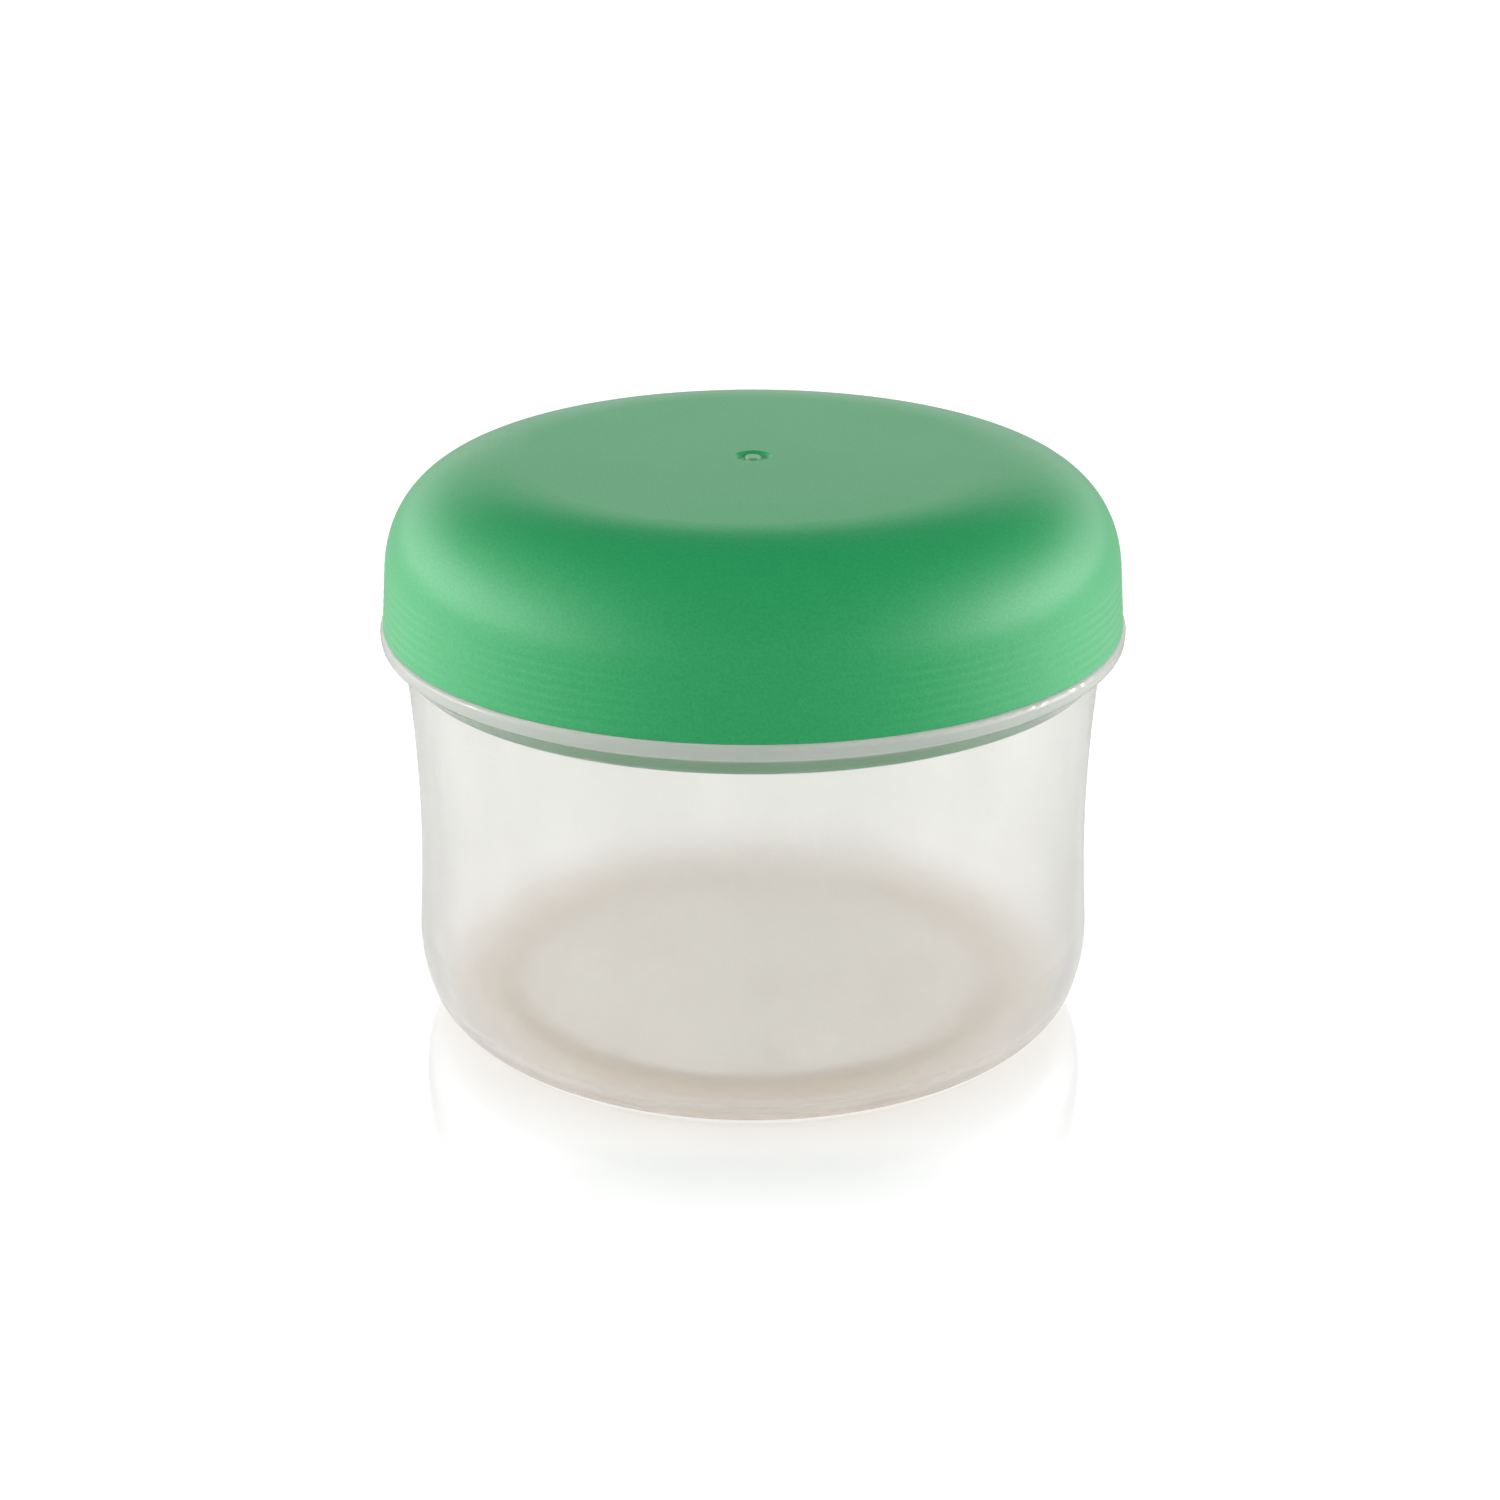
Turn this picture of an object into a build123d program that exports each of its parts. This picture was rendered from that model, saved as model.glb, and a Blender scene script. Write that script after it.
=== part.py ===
from build123d import *

import os

# A small round snack container: a translucent bowl with a domed lid that snaps over its neck.
# Millimetres, +Z up. The origin is the centre of the foot ring, on the surface the bowl stands on.
# Both pieces are turned shapes: each section is drawn on the XZ plane, as radius and height, and
# revolved about Z.

# ---- Driving dimensions -------------------------------------------------------------------

# Lid, outside
OVERALL_HEIGHT = 63.9
LID_EDGE_HEIGHT = 46.0          # the lid's lower edge, just above the bowl's flange
LID_EDGE_RADIUS = 41.0
LID_SIDE_RISE = 6.6             # height of the nearly upright side
LID_SIDE_LEAN = 0.48            # how far the side leans in over that height
LID_FLAT_RADIUS = 25.5          # flat top, out to where the dome's shoulder begins
SHOULDER_SIDE_PULL = 0.57       # handles of the shoulder's curve, as parts of its height and
SHOULDER_TOP_PULL = 0.68        # width: 0.55 for both would make it a quarter ellipse
LID_WALL = 1.4
LID_EDGE_ROUND = 0.12

# Fine grooves around the lower half of the lid
GROOVE_COUNT = 6
GROOVE_PITCH = 1.035
GROOVE_FIRST_RISE = 1.36        # first groove above the lid's edge
GROOVE_DEPTH = 0.03
GROOVE_SECTION_RADIUS = 2.2

# Moulding gate in the middle of the top: a shallow dish with a nub in it
GATE_DISH_RADIUS = 2.05
GATE_DISH_DEPTH = 0.35
GATE_DISH_SLOPE = 0.45          # how far the dish's side runs in
GATE_NUB_RADIUS = 0.95
GATE_NUB_HEIGHT = 0.30
GATE_NUB_SLOPE = 0.15

# Bowl, outside
FOOT_RADIUS = 31.7              # outer edge of the flat foot ring
CORNER_LOW_RADIUS = 6.0         # tight arc up from the foot
CORNER_LOW_TURN = 71.6          # degrees
CORNER_HIGH_RADIUS = 17.3       # easier arc that leads into the wall
CORNER_HIGH_TURN = 22.7         # degrees, so that the wall starts by leaning in a little
WAIST_RADIUS = 37.75            # the wall bows in to here, halfway up
WAIST_HEIGHT = 25.2
WALL_TOP_RADIUS = 38.75         # where the flange's sloping underside begins
WALL_TOP_HEIGHT = 42.0
BOWL_WALL = 1.4

# Raised middle of the bowl's floor, over a recess inside the foot ring
FLOOR_RISE = 1.5
FLOOR_EDGE_RADIUS = 28.7
FLOOR_EDGE_SLOPE = 0.4          # how far the step between the two levels runs out
FLOOR_EDGE_ROUND = 0.3

# Flange that carries the lid's edge
FLANGE_RADIUS = 41.35
FLANGE_THICKNESS = 1.5
FLANGE_LEAN = 0.15
FLANGE_ROUND = 0.5
SEAT_GAP = 0.05                 # between the flange and the lid's edge

# Neck of the bowl, inside the lid
NECK_RADIUS = 38.4
NECK_BORE_RADIUS = 37.2
NECK_HEIGHT = 6.5               # above the flange
NECK_ROUND = 0.45

# Snap beads: the lid's bead passes over the neck's and sits under it
BEAD_SECTION_RADIUS = 0.8
NECK_BEAD_REACH = 0.6           # how far it stands out from the neck
NECK_BEAD_RISE = 4.6            # its middle above the flange
LID_BEAD_RISE = 2.6             # its middle above the lid's edge
SNAP_CLEARANCE = 0.10           # radial, between the beads as they pass

# Plug seal: a thin ring under the lid that fits inside the neck
PLUG_CLEARANCE = 0.15           # radial, inside the neck
PLUG_WALL = 1.0
PLUG_DROP = 3.4                 # below the lid's edge
PLUG_ROOT = 0.66                # top of the ring, as a part of the shoulder's height
PLUG_ROUND = 0.35
PLUG_ROOT_FILLET = 0.8          # inside the ring
PLUG_POCKET_FILLET = 0.35       # in the narrow pocket outside it

# ---- Heights and radii that follow ----------------------------------------------------------

shoulder_height = LID_EDGE_HEIGHT + LID_SIDE_RISE
shoulder_radius = LID_EDGE_RADIUS - LID_SIDE_LEAN
side_slope = LID_SIDE_LEAN / LID_SIDE_RISE
ceiling_height = OVERALL_HEIGHT - LID_WALL
dish_floor = OVERALL_HEIGHT - GATE_DISH_DEPTH

flange_top = LID_EDGE_HEIGHT - SEAT_GAP
flange_bottom = flange_top - FLANGE_THICKNESS
neck_top = flange_top + NECK_HEIGHT
neck_bead_tip = NECK_RADIUS + NECK_BEAD_REACH
recess_radius = FLOOR_EDGE_RADIUS - BOWL_WALL
floor_height = FLOOR_RISE + BOWL_WALL

plug_radius = NECK_BORE_RADIUS - PLUG_CLEARANCE
plug_bottom = LID_EDGE_HEIGHT - PLUG_DROP
plug_root = shoulder_height + PLUG_ROOT * (OVERALL_HEIGHT - shoulder_height)


def shoulder_curve(radius, height):
    """Control points of the dome's shoulder, from the top of its side in to the flat top."""
    side_pull = SHOULDER_SIDE_PULL * (height - shoulder_height)
    top_pull = SHOULDER_TOP_PULL * (radius - LID_FLAT_RADIUS)
    return (
        (radius, shoulder_height),
        (radius - side_slope * side_pull, shoulder_height + side_pull),
        (LID_FLAT_RADIUS + top_pull, height),
        (LID_FLAT_RADIUS, height),
    )


def corners(section, *points):
    """The section's corners at the given points, for rounding."""
    return [section.vertices().sort_by_distance(point)[0] for point in points]


# ---- Bowl -----------------------------------------------------------------------------------

with BuildPart() as bowl:
    with BuildSketch(Plane.XZ) as bowl_section:
        with BuildLine():
            # outside, from the recess under the floor up to the flange
            foot = Polyline(
                (0, FLOOR_RISE),
                (recess_radius, FLOOR_RISE),
                (recess_radius + FLOOR_EDGE_SLOPE, 0),
                (FOOT_RADIUS, 0),
            )
            low = JernArc(foot @ 1, (1, 0), CORNER_LOW_RADIUS, CORNER_LOW_TURN)
            high = JernArc(low @ 1, low % 1, CORNER_HIGH_RADIUS, CORNER_HIGH_TURN)
            wall = ThreePointArc(
                high @ 1, (WAIST_RADIUS, WAIST_HEIGHT), (WALL_TOP_RADIUS, WALL_TOP_HEIGHT)
            )

            # flange and neck
            rim = Polyline(
                wall @ 1,
                (FLANGE_RADIUS - FLANGE_LEAN, flange_bottom),
                (FLANGE_RADIUS, flange_top),
                (NECK_RADIUS, flange_top),
                (NECK_RADIUS, neck_top),
                (NECK_BORE_RADIUS, neck_top),
                (NECK_BORE_RADIUS, WALL_TOP_HEIGHT),
            )

            # inside, from the middle of the floor up to the neck
            floor = Polyline(
                foot @ 0,
                (0, floor_height),
                (FLOOR_EDGE_RADIUS, floor_height),
                (FLOOR_EDGE_RADIUS + FLOOR_EDGE_SLOPE, BOWL_WALL),
                (FOOT_RADIUS, BOWL_WALL),
            )
            low_in = JernArc(floor @ 1, (1, 0), CORNER_LOW_RADIUS - BOWL_WALL, CORNER_LOW_TURN)
            high_in = JernArc(
                low_in @ 1, low_in % 1, CORNER_HIGH_RADIUS - BOWL_WALL, CORNER_HIGH_TURN
            )
            ThreePointArc(high_in @ 1, (WAIST_RADIUS - BOWL_WALL, WAIST_HEIGHT), rim @ 1)
        make_face()
        with Locations((neck_bead_tip - BEAD_SECTION_RADIUS, flange_top + NECK_BEAD_RISE)):
            Circle(BEAD_SECTION_RADIUS)
        fillet(
            corners(
                bowl_section,
                (FLANGE_RADIUS - FLANGE_LEAN, flange_bottom),
                (FLANGE_RADIUS, flange_top),
            ),
            FLANGE_ROUND,
        )
        fillet(
            corners(bowl_section, (NECK_RADIUS, neck_top), (NECK_BORE_RADIUS, neck_top)),
            NECK_ROUND,
        )
        fillet(
            corners(
                bowl_section,
                (recess_radius, FLOOR_RISE),
                (recess_radius + FLOOR_EDGE_SLOPE, 0),
                (FLOOR_EDGE_RADIUS, floor_height),
                (FLOOR_EDGE_RADIUS + FLOOR_EDGE_SLOPE, BOWL_WALL),
                (WALL_TOP_RADIUS, WALL_TOP_HEIGHT),
            ),
            FLOOR_EDGE_ROUND,
        )
    revolve(axis=Axis.Z)
bowl.part.label = "bowl"

# ---- Lid ------------------------------------------------------------------------------------

with BuildPart() as lid:
    with BuildSketch(Plane.XZ) as lid_section:
        with BuildLine():
            # outside, from the lower edge over the dome to the gate in the middle
            side = Line((LID_EDGE_RADIUS, LID_EDGE_HEIGHT), (shoulder_radius, shoulder_height))
            shoulder = Bezier(*shoulder_curve(shoulder_radius, OVERALL_HEIGHT))
            top = Polyline(
                shoulder @ 1,
                (GATE_DISH_RADIUS, OVERALL_HEIGHT),
                (GATE_DISH_RADIUS - GATE_DISH_SLOPE, dish_floor),
                (GATE_NUB_RADIUS, dish_floor),
                (GATE_NUB_RADIUS - GATE_NUB_SLOPE, dish_floor + GATE_NUB_HEIGHT),
                (0, dish_floor + GATE_NUB_HEIGHT),
                (0, ceiling_height),
                (LID_FLAT_RADIUS, ceiling_height),
            )

            # inside, back down to the lower edge
            shoulder_in = Bezier(*shoulder_curve(shoulder_radius - LID_WALL, ceiling_height))
            Polyline(shoulder_in @ 0, (LID_EDGE_RADIUS - LID_WALL, LID_EDGE_HEIGHT), side @ 0)
        make_face()

        # plug seal, and the bead on the inside of the lid's side
        with Locations((plug_radius, plug_bottom)):
            Rectangle(PLUG_WALL, plug_root - plug_bottom, align=(Align.MAX, Align.MIN))
        with Locations(
            (neck_bead_tip + SNAP_CLEARANCE + BEAD_SECTION_RADIUS, LID_EDGE_HEIGHT + LID_BEAD_RISE)
        ):
            Circle(BEAD_SECTION_RADIUS)

        # grooves, each cut by a small circle that rides on the line of the side
        groove_centre_radius = LID_EDGE_RADIUS + GROOVE_SECTION_RADIUS - GROOVE_DEPTH
        groove_rises = [GROOVE_FIRST_RISE + GROOVE_PITCH * step for step in range(GROOVE_COUNT)]
        groove_centres = [
            (groove_centre_radius - side_slope * rise, LID_EDGE_HEIGHT + rise)
            for rise in groove_rises
        ]
        with Locations(*groove_centres):
            Circle(GROOVE_SECTION_RADIUS, mode=Mode.SUBTRACT)

        fillet(
            corners(
                lid_section,
                (LID_EDGE_RADIUS, LID_EDGE_HEIGHT),
                (LID_EDGE_RADIUS - LID_WALL, LID_EDGE_HEIGHT),
            ),
            LID_EDGE_ROUND,
        )
        fillet(
            corners(
                lid_section,
                (plug_radius, plug_bottom),
                (plug_radius - PLUG_WALL, plug_bottom),
            ),
            PLUG_ROUND,
        )
        fillet(corners(lid_section, (plug_radius - PLUG_WALL, plug_root)), PLUG_ROOT_FILLET)
        # across the ring the dome falls by about the ring's own thickness
        fillet(corners(lid_section, (plug_radius, plug_root - PLUG_WALL)), PLUG_POCKET_FILLET)
    revolve(axis=Axis.Z)
lid.part.label = "lid"

# ---- One file for each piece ----------------------------------------------------------------

os.makedirs("parts", exist_ok=True)
export_step(bowl.part, "parts/bowl.step")
export_step(lid.part, "parts/lid.step")
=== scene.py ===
"""The snap lid food container: a satin green lid on a translucent bowl, in a plain pale studio.

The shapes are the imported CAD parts. This script gives them their plastics, and adds the floor, the
light and the camera. Lengths are in metres and angles in degrees. Azimuth 0 is the camera's side,
and 90 its right.
"""

import math

import bpy
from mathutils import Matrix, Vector


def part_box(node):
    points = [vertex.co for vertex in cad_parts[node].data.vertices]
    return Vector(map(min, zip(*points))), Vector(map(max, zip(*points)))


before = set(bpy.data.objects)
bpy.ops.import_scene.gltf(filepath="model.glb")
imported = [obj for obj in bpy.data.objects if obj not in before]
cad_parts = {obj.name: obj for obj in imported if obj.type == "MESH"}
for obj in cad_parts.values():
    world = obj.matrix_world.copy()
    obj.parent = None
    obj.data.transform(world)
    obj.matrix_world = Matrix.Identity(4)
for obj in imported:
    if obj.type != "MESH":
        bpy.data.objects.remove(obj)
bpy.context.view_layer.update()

# ---- Sizes that the materials follow -------------------------------------------------------------

_, bowl_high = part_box("bowl")
NECK_RADIUS = 0.0384
NECK_HEIGHT = 0.0065            # of the neck above the flange
RIM_HEIGHT = 0.0016             # of the flange's upright rim, above its cone
STEP_RADIUS = 0.0289            # of the step around the bowl's raised floor
STEP_HEIGHT = 0.0032            # of the inner floor above the table
GATE_NUB_RADIUS = 0.00095       # of the nub in the middle of the lid
FOOT_RADIUS = 0.0325            # of the part of the floor that the bowl hides
rim_foot = bowl_high.z - NECK_HEIGHT - RIM_HEIGHT

# ---- Camera --------------------------------------------------------------------------------------

CAMERA_PLACE = (0.0, -0.3038, 0.1493)
CAMERA_PITCH = 21.55            # below the horizon
CAMERA_LENS_MM = 69.0
CAMERA_SHIFT_X = -0.002

# ---- Plastics: linear red, green and blue, and shares --------------------------------------------

LID_GREEN = (0.025, 0.428, 0.138)
LID_GREEN_DEEP = (0.017, 0.365, 0.114)
# a paler green on the gate nub
GATE_NUB_PALE_GREEN = (0.15, 0.43, 0.22)
BOWL_CLEAR = (0.995, 0.993, 0.985)
BOWL_MILK = (0.97, 0.963, 0.945)
# warmer milk low in the base: partly the plastic's own tone, partly painted warm bounce light
BOWL_BASE_WARM_MILK_AND_PAINTED_BOUNCE = (0.97, 0.80, 0.68)
BOWL_TINT = (0.95, 0.935, 0.87)
WHITE = (1.0, 1.0, 1.0)
WARM_WHITE = (1.0, 0.96, 0.86)
FLOOR_GREY = (0.33, 0.33, 0.33)
POLYPROPYLENE_IOR = 1.49
MILK_LET_THROUGH = 0.5          # share of the milky plastic's light that comes from behind it
WALL_MILK_SHARE = 0.14          # of milky plastic in the clear
BASE_MILK_SHARE = 0.42
# milk share on the flange's rim and around the floor's step: thick plastic and partly painted light on
# the rim, a painted highlight on the step
RIM_AND_STEP_MILK_SHARE = 0.80
MILK_DRIFT = 0.03               # either way
WALL_ROUGHNESS = 0.19
THICK_ROUGHNESS = 0.14

# ---- Studio light, as strengths ------------------------------------------------------------------

LEFT_LIGHT = 3.6                # at the middle of the big soft light on either side
RIGHT_LIGHT = 4.1
LEFT_LIGHT_FALL = 3.6           # power of the cosine that it fades with
RIGHT_LIGHT_FALL = 5.0
SIDE_LIGHT_IN_FLOOR = 0.36      # how much of it the floor sends on
BACK_LIGHT = 0.92               # from behind, up to the height where the white wall ends
FRONT_LIGHT = 0.50
WALL_END = 0.41                 # sine of that height
HIGH_FRONT_LIGHT = 0.30
HIGH_BACK_LIGHT = 0.12
NEAR_FLOOR_LIGHT = 0.88         # from the floor close to the object
FAR_FLOOR_LIGHT = 0.48
NEAR_FLOOR_END = 0.07           # distance from the object's axis where it starts to give way
FAR_FLOOR_START = 0.13
FLOOR_GLOW = 0.83               # that the floor shows of itself
NEAR_MIRROR = 0.42              # share of the floor's mirror beside the foot, fading to the far one
FAR_MIRROR = 0.02
BACK_CARD_LIGHT = 0.85
GLINT_LIGHT_HEIGHT = 0.08       # of each strip light, in metres
GLINT_LIGHT_RISE = 0.21         # of its middle
GLINT_LIGHT_REACH = 0.55        # from the middle of the object


# ---- Node helpers --------------------------------------------------------------------------------


def new_material(name):
    """An empty node material with an output. Returns the material, its tree and the output."""
    material = bpy.data.materials.new(name)
    material.use_nodes = True
    tree = material.node_tree
    tree.nodes.clear()
    return material, tree, tree.nodes.new("ShaderNodeOutputMaterial")


def add_node(tree, kind, **values):
    """A node with its inputs set by name, where _ stands for a space."""
    node = tree.nodes.new(kind)
    for name, value in values.items():
        node.inputs[name.replace("_", " ")].default_value = value
    return node


def opaque(colour):
    """A colour with its alpha."""
    return (*colour, 1.0)


def coordinate(tree, kind="Object", stretch=(1.0, 1.0, 1.0)):
    """The place on a piece, or the direction in the world, stretched along each axis."""
    place = tree.nodes.new("ShaderNodeTexCoord")
    mapping = add_node(tree, "ShaderNodeMapping", Scale=stretch)
    tree.links.new(place.outputs[kind], mapping.inputs["Vector"])
    return mapping.outputs["Vector"]


def noise(tree, size, detail=2.0, roughness=0.5, stretch=(1.0, 1.0, 1.0)):
    """Noise fixed to the piece, with features about size metres across."""
    texture = add_node(
        tree, "ShaderNodeTexNoise", Scale=1.0 / size, Detail=detail, Roughness=roughness
    )
    tree.links.new(coordinate(tree, stretch=stretch), texture.inputs["Vector"])
    return texture.outputs["Fac"]


def spread(tree, value, from_low, from_high, to_low, to_high):
    """value carried from one range to another, with no overshoot."""
    node = tree.nodes.new("ShaderNodeMapRange")
    names = ("Value", "From Min", "From Max", "To Min", "To Max")
    for name, part in zip(names, (value, from_low, from_high, to_low, to_high)):
        plug(tree, part, node.inputs[name])
    return node.outputs["Result"]


def plug(tree, value, socket):
    """Gives the input a number, or a link to another node."""
    if isinstance(value, (int, float)):
        socket.default_value = value
    else:
        tree.links.new(value, socket)


def combine(tree, operation, first, second=0.0):
    """Two values, sockets or numbers, through one Math operation."""
    node = tree.nodes.new("ShaderNodeMath")
    node.operation = operation
    plug(tree, first, node.inputs[0])
    plug(tree, second, node.inputs[1])
    return node.outputs["Value"]


def length(tree, vector):
    """Length of a vector."""
    node = tree.nodes.new("ShaderNodeVectorMath")
    node.operation = "LENGTH"
    tree.links.new(vector, node.inputs[0])
    return node.outputs["Value"]


def split(tree, vector):
    """The x, y and z of a vector."""
    node = tree.nodes.new("ShaderNodeSeparateXYZ")
    tree.links.new(vector, node.inputs["Vector"])
    return node.outputs["X"], node.outputs["Y"], node.outputs["Z"]


def two_tone(tree, value, first, second, low=0.35, high=0.65):
    """A colour from first to second as value goes from low to high."""
    ramp = tree.nodes.new("ShaderNodeValToRGB")
    ramp.color_ramp.elements[0].position = low
    ramp.color_ramp.elements[0].color = opaque(first)
    ramp.color_ramp.elements[1].position = high
    ramp.color_ramp.elements[1].color = opaque(second)
    tree.links.new(value, ramp.inputs["Fac"])
    return ramp.outputs["Color"]


def blend_colours(tree, share, first, second):
    """first where share is 0 and the plain colour second where it is 1."""
    node = tree.nodes.new("ShaderNodeMix")
    node.data_type = "RGBA"
    tree.links.new(share, node.inputs[0])
    tree.links.new(first, node.inputs[6])
    node.inputs[7].default_value = opaque(second)
    return node.outputs[2]


def blend_shaders(tree, share, first, second):
    """first where share is 0 and second where it is 1."""
    node = tree.nodes.new("ShaderNodeMixShader")
    plug(tree, share, node.inputs["Fac"])
    tree.links.new(first, node.inputs[1])
    tree.links.new(second, node.inputs[2])
    return node.outputs["Shader"]


def bump(tree, height, strength, distance, base=None):
    """A normal bumped by height, on top of an earlier bump if one is given."""
    node = add_node(tree, "ShaderNodeBump", Strength=strength, Distance=distance)
    tree.links.new(height, node.inputs["Height"])
    if base is not None:
        tree.links.new(base, node.inputs["Normal"])
    return node.outputs["Normal"]


def axis_distance(tree):
    """Distance from the piece's axis."""
    return length(tree, coordinate(tree, stretch=(1.0, 1.0, 0.0)))


# ---- Materials -----------------------------------------------------------------------------------


def lid_plastic():
    """Opaque green polypropylene with the fine spark texture of its mould."""
    material, tree, output = new_material("lid_green_polypropylene")
    shader = add_node(
        tree,
        "ShaderNodeBsdfPrincipled",
        IOR=POLYPROPYLENE_IOR,
        Subsurface_Weight=0.12,
        Subsurface_Radius=(0.5, 1.0, 0.7),
        Subsurface_Scale=0.001,
    )
    grain = noise(tree, size=0.00030, detail=3.0, roughness=0.65)
    clouds = noise(tree, size=0.02)
    green = two_tone(tree, grain, LID_GREEN_DEEP, LID_GREEN)
    # The gate nub is given a paler green.
    gate = spread(
        tree, axis_distance(tree), GATE_NUB_RADIUS - 0.0001, GATE_NUB_RADIUS + 0.0001, 1.0, 0.0
    )
    tree.links.new(blend_colours(tree, gate, green, GATE_NUB_PALE_GREEN), shader.inputs["Base Color"])
    tree.links.new(spread(tree, clouds, 0.3, 0.7, 0.28, 0.31), shader.inputs["Roughness"])
    waves = bump(tree, clouds, strength=0.2, distance=0.0003)
    tree.links.new(bump(tree, grain, 0.45, 0.00004, waves), shader.inputs["Normal"])
    tree.links.new(shader.outputs["BSDF"], output.inputs["Surface"])
    return material


def in_rim_or_step(tree, height):
    """1 on the flange's rim and around the step of the floor, and 0 elsewhere on the bowl."""
    outward = axis_distance(tree)
    # The rim's extra milk is its thick plastic, and partly painted light lifting the shade under the
    # lid's edge.
    off_neck = spread(tree, outward, NECK_RADIUS, NECK_RADIUS + 0.0005, 0.0, 1.0)
    above_cone = spread(tree, height, rim_foot - 0.0004, rim_foot, 0.0, 1.0)
    on_rim = combine(tree, "MULTIPLY", off_neck, above_cone)
    # Around the step the extra milk is a painted highlight on the floor's rounded corner.
    off_step = combine(tree, "ABSOLUTE", combine(tree, "SUBTRACT", outward, STEP_RADIUS))
    near_step = spread(tree, off_step, 0.0004, 0.0009, 1.0, 0.0)
    low_down = spread(tree, height, STEP_HEIGHT, STEP_HEIGHT + 0.0005, 1.0, 0.0)
    on_step = combine(tree, "MULTIPLY", near_step, low_down)
    return combine(tree, "MAXIMUM", on_rim, on_step)


def bowl_plastic():
    """Natural polypropylene: translucent and satin on the wall, milkier in the base and the flange."""
    material, tree, output = new_material("bowl_natural_polypropylene")
    grain = noise(tree, size=0.00035, detail=3.0, roughness=0.6)
    flow = noise(tree, size=0.012, stretch=(1.0, 1.0, 0.35))
    smooth = add_node(tree, "ShaderNodeBevel", Radius=0.0003)
    smooth.samples = 4
    waves = bump(tree, flow, 0.1, 0.0004, smooth.outputs["Normal"])
    normal = bump(tree, grain, 0.12, 0.00003, waves)
    _, _, height = split(tree, coordinate(tree))
    rim_and_step = in_rim_or_step(tree, height)
    drift = spread(tree, flow, 0.3, 0.7, -MILK_DRIFT, MILK_DRIFT)
    satin = spread(tree, rim_and_step, 0.0, 1.0, WALL_ROUGHNESS, THICK_ROUGHNESS)
    rough = combine(tree, "ADD", satin, drift)
    clear = add_node(
        tree, "ShaderNodeBsdfPrincipled", Base_Color=opaque(BOWL_CLEAR), IOR=POLYPROPYLENE_IOR
    )
    clear.inputs["Transmission Weight"].default_value = 1.0
    milk = add_node(tree, "ShaderNodeBsdfPrincipled", IOR=POLYPROPYLENE_IOR)
    glow = tree.nodes.new("ShaderNodeBsdfTranslucent")
    for shader in (clear, milk):
        tree.links.new(rough, shader.inputs["Roughness"])
        tree.links.new(normal, shader.inputs["Normal"])
    in_base = spread(tree, height, 0.0005, 0.0050, 1.0, 0.0)
    # Low in the base the milk turns warmer: partly the plastic's own tone, partly painted warm bounce
    # light.
    white = two_tone(tree, in_base, BOWL_MILK, BOWL_BASE_WARM_MILK_AND_PAINTED_BOUNCE, 0.0, 1.0)
    tree.links.new(white, milk.inputs["Base Color"])
    tree.links.new(white, glow.inputs["Color"])
    milky = blend_shaders(tree, MILK_LET_THROUGH, milk.outputs["BSDF"], glow.outputs["BSDF"])
    thin_share = spread(tree, in_base, 0.0, 1.0, WALL_MILK_SHARE, BASE_MILK_SHARE)
    # More milk on the rim and the step: partly painted light on the rim, and a painted highlight on the
    # step.
    even_share = spread(tree, rim_and_step, 0.0, 1.0, thin_share, RIM_AND_STEP_MILK_SHARE)
    milk_share = combine(tree, "ADD", even_share, drift)
    surface = blend_shaders(tree, milk_share, clear.outputs["BSDF"], milky)
    tree.links.new(surface, output.inputs["Surface"])
    absorption = add_node(
        tree, "ShaderNodeVolumeAbsorption", Color=opaque(BOWL_TINT), Density=60.0
    )
    tree.links.new(absorption.outputs["Volume"], output.inputs["Volume"])
    return material


# ---- Studio --------------------------------------------------------------------------------------


def side_lights(tree, across):
    """Light from the big soft lights, by how far the direction points across the view."""
    fall = spread(tree, across, -0.01, 0.01, LEFT_LIGHT_FALL, RIGHT_LIGHT_FALL)
    reach = combine(tree, "POWER", combine(tree, "ABSOLUTE", across), fall)
    return combine(
        tree, "MULTIPLY", reach, spread(tree, across, -0.01, 0.01, LEFT_LIGHT, RIGHT_LIGHT)
    )


def seen_directly(tree):
    """1 for what the camera sees, also through the bowl, and 0 for light that falls on things."""
    path = tree.nodes.new("ShaderNodeLightPath")
    return combine(
        tree, "MAXIMUM", path.outputs["Is Camera Ray"], path.outputs["Is Transmission Ray"]
    )


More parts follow.
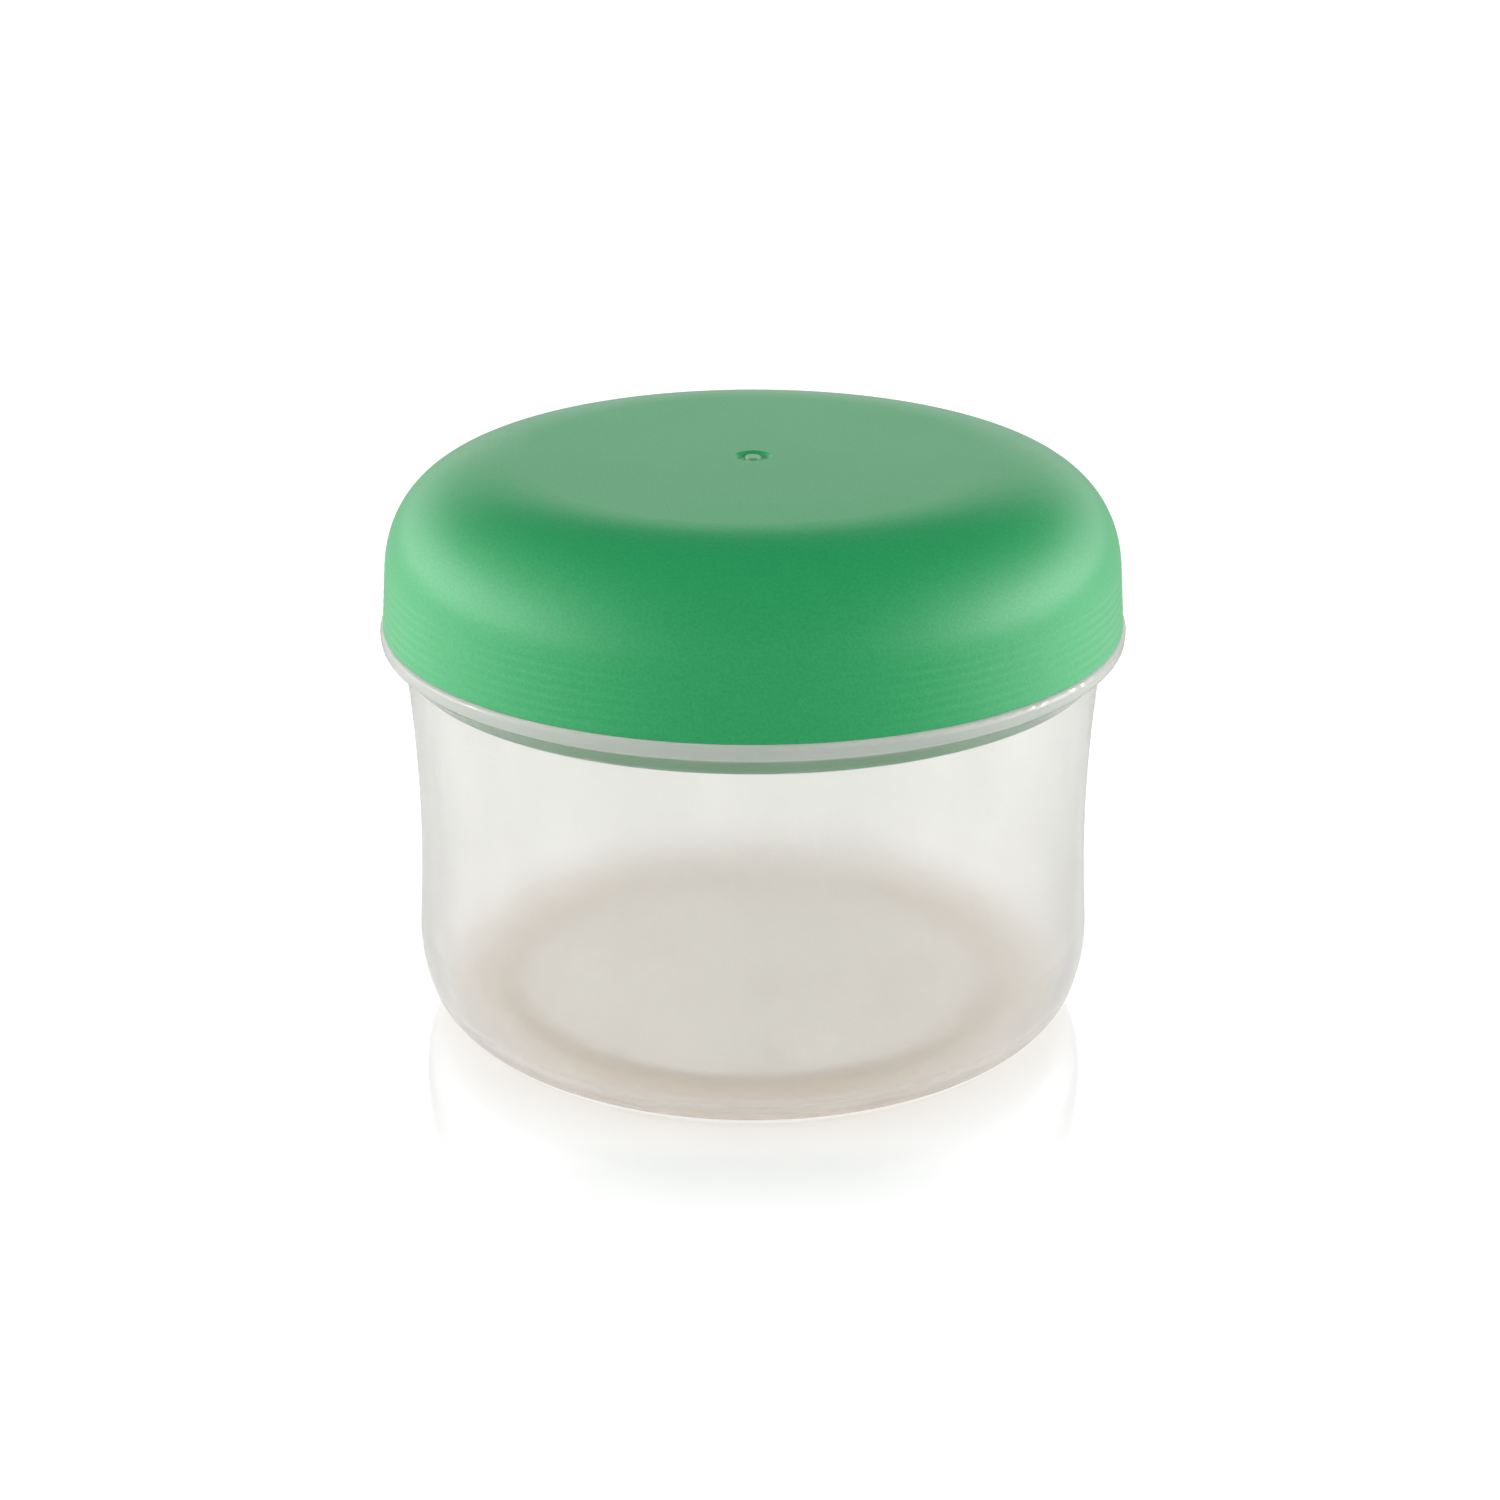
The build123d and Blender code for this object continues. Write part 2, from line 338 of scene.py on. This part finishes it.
def floor_surface():
    """Glowing white acrylic that mirrors the object a little, and less with distance."""
    material, tree, output = new_material("studio_floor")
    glow = add_node(tree, "ShaderNodeEmission", Color=opaque(WHITE), Strength=FLOOR_GLOW)
    matt = add_node(tree, "ShaderNodeBsdfDiffuse", Color=opaque(FLOOR_GREY))
    mirror = add_node(tree, "ShaderNodeBsdfAnisotropic", Color=opaque(WHITE), Roughness=0.08)
    both = tree.nodes.new("ShaderNodeAddShader")
    tree.links.new(glow.outputs["Emission"], both.inputs[0])
    tree.links.new(matt.outputs["BSDF"], both.inputs[1])
    place = coordinate(tree)
    reach = length(tree, place)
    across, _, _ = split(tree, place)
    fading = spread(tree, reach, 0.034, 0.056, NEAR_MIRROR, FAR_MIRROR)
    share = spread(tree, reach, FOOT_RADIUS, FOOT_RADIUS + 0.0015, 0.0, fading)
    seen = blend_shaders(tree, share, both.outputs["Shader"], mirror.outputs["BSDF"])
    sides = side_lights(tree, combine(tree, "DIVIDE", across, reach))
    far = combine(
        tree, "ADD", combine(tree, "MULTIPLY", sides, SIDE_LIGHT_IN_FLOOR), FAR_FLOOR_LIGHT
    )
    sent = add_node(tree, "ShaderNodeEmission", Color=opaque(WHITE))
    given = spread(tree, reach, NEAR_FLOOR_END, FAR_FLOOR_START, NEAR_FLOOR_LIGHT, far)
    tree.links.new(given, sent.inputs["Strength"])
    surface = blend_shaders(tree, seen_directly(tree), sent.outputs["Emission"], seen)
    tree.links.new(surface, output.inputs["Surface"])
    return material


def make_floor():
    """A pale floor just under the bowl. Returns it."""
    half = 3.0
    mesh = bpy.data.meshes.new("floor")
    corners = [(-half, -half, 0), (half, -half, 0), (half, half, 0), (-half, half, 0)]
    mesh.from_pydata(corners, [], [(0, 1, 2, 3)])
    mesh.materials.append(floor_surface())
    floor = bpy.data.objects.new("floor", mesh)
    floor.location.z = -0.00005
    bpy.context.scene.collection.objects.link(floor)
    return floor


def make_world():
    """White to look at. As light it is bright on both sides, white low down behind, and dim overhead."""
    world = bpy.data.worlds.new("studio")
    world.use_nodes = True
    tree = world.node_tree
    tree.nodes.clear()
    output = tree.nodes.new("ShaderNodeOutputWorld")
    white = add_node(tree, "ShaderNodeBackground", Color=opaque(WHITE), Strength=1.0)
    light = add_node(tree, "ShaderNodeBackground", Color=opaque(WHITE))
    across, along, up = split(tree, coordinate(tree, "Generated"))
    low_light = spread(tree, along, -0.3, 0.3, FRONT_LIGHT, BACK_LIGHT)
    high_light = spread(tree, along, -0.5, 0.5, HIGH_FRONT_LIGHT, HIGH_BACK_LIGHT)
    plain = spread(tree, up, WALL_END - 0.02, WALL_END + 0.02, low_light, high_light)
    strength = combine(tree, "ADD", plain, side_lights(tree, across))
    tree.links.new(strength, light.inputs["Strength"])
    surface = blend_shaders(
        tree, seen_directly(tree), light.outputs["Background"], white.outputs["Background"]
    )
    tree.links.new(surface, output.inputs["Surface"])
    bpy.context.scene.world = world


def make_area_light(name, width, height, power, place, turn, lit):
    """A soft rectangular light that the camera can't see, and that lights one object only."""
    data = bpy.data.lights.new(name, "AREA")
    data.shape = "RECTANGLE"
    data.size = width
    data.size_y = height
    data.energy = power
    lamp = bpy.data.objects.new(name, data)
    lamp.location = place
    lamp.rotation_euler = turn
    lamp.visible_camera = False
    lamp.visible_transmission = False
    bpy.context.scene.collection.objects.link(lamp)
    group = bpy.data.collections.new(name + "_on")
    group.objects.link(lit)
    lamp.light_linking.receiver_collection = group
    return lamp


def make_glint(name, azimuth, power, width):
    """A tall narrow warm strip light, for a glint on the bowl's flange and for nothing else."""
    turn = math.radians(azimuth)
    place = (
        math.sin(turn) * GLINT_LIGHT_REACH, -math.cos(turn) * GLINT_LIGHT_REACH, GLINT_LIGHT_RISE
    )
    lamp = make_area_light(
        name, width, GLINT_LIGHT_HEIGHT, power, place, (math.pi / 2, 0.0, turn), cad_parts["bowl"]
    )
    lamp.data.color = WARM_WHITE
    lamp.visible_diffuse = False


def make_back_card(floor):
    """A high white card behind, for the floor's mirror alone."""
    width, height = 3.2, 1.6
    place = Vector((0.0, 1.5, 1.4))
    aim = place.to_track_quat("Z", "Y").to_euler()
    power = BACK_CARD_LIGHT * math.pi * width * height
    make_area_light("back_card", width, height, power, place, aim, floor)


def make_camera():
    """The camera, looking slightly down from the front."""
    data = bpy.data.cameras.new("camera")
    data.lens = CAMERA_LENS_MM
    data.sensor_width = 36.0
    data.shift_x = CAMERA_SHIFT_X
    camera = bpy.data.objects.new("camera", data)
    camera.location = CAMERA_PLACE
    camera.rotation_euler = (math.radians(90 - CAMERA_PITCH), 0.0, 0.0)
    bpy.context.scene.collection.objects.link(camera)
    bpy.context.scene.camera = camera


def wear(node, material):
    """Puts the material on a CAD node."""
    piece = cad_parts[node]
    for material_slot in piece.material_slots:
        material_slot.material = material


wear("lid", lid_plastic())
wear("bowl", bowl_plastic())
make_back_card(make_floor())
make_world()
make_glint("right_glint", azimuth=120, power=0.9, width=0.03)
make_glint("right_front_glint", azimuth=68, power=0.15, width=0.02)
make_glint("left_glint", azimuth=-90, power=0.5, width=0.03)
make_camera()
bpy.context.scene.view_settings.view_transform = "Standard"
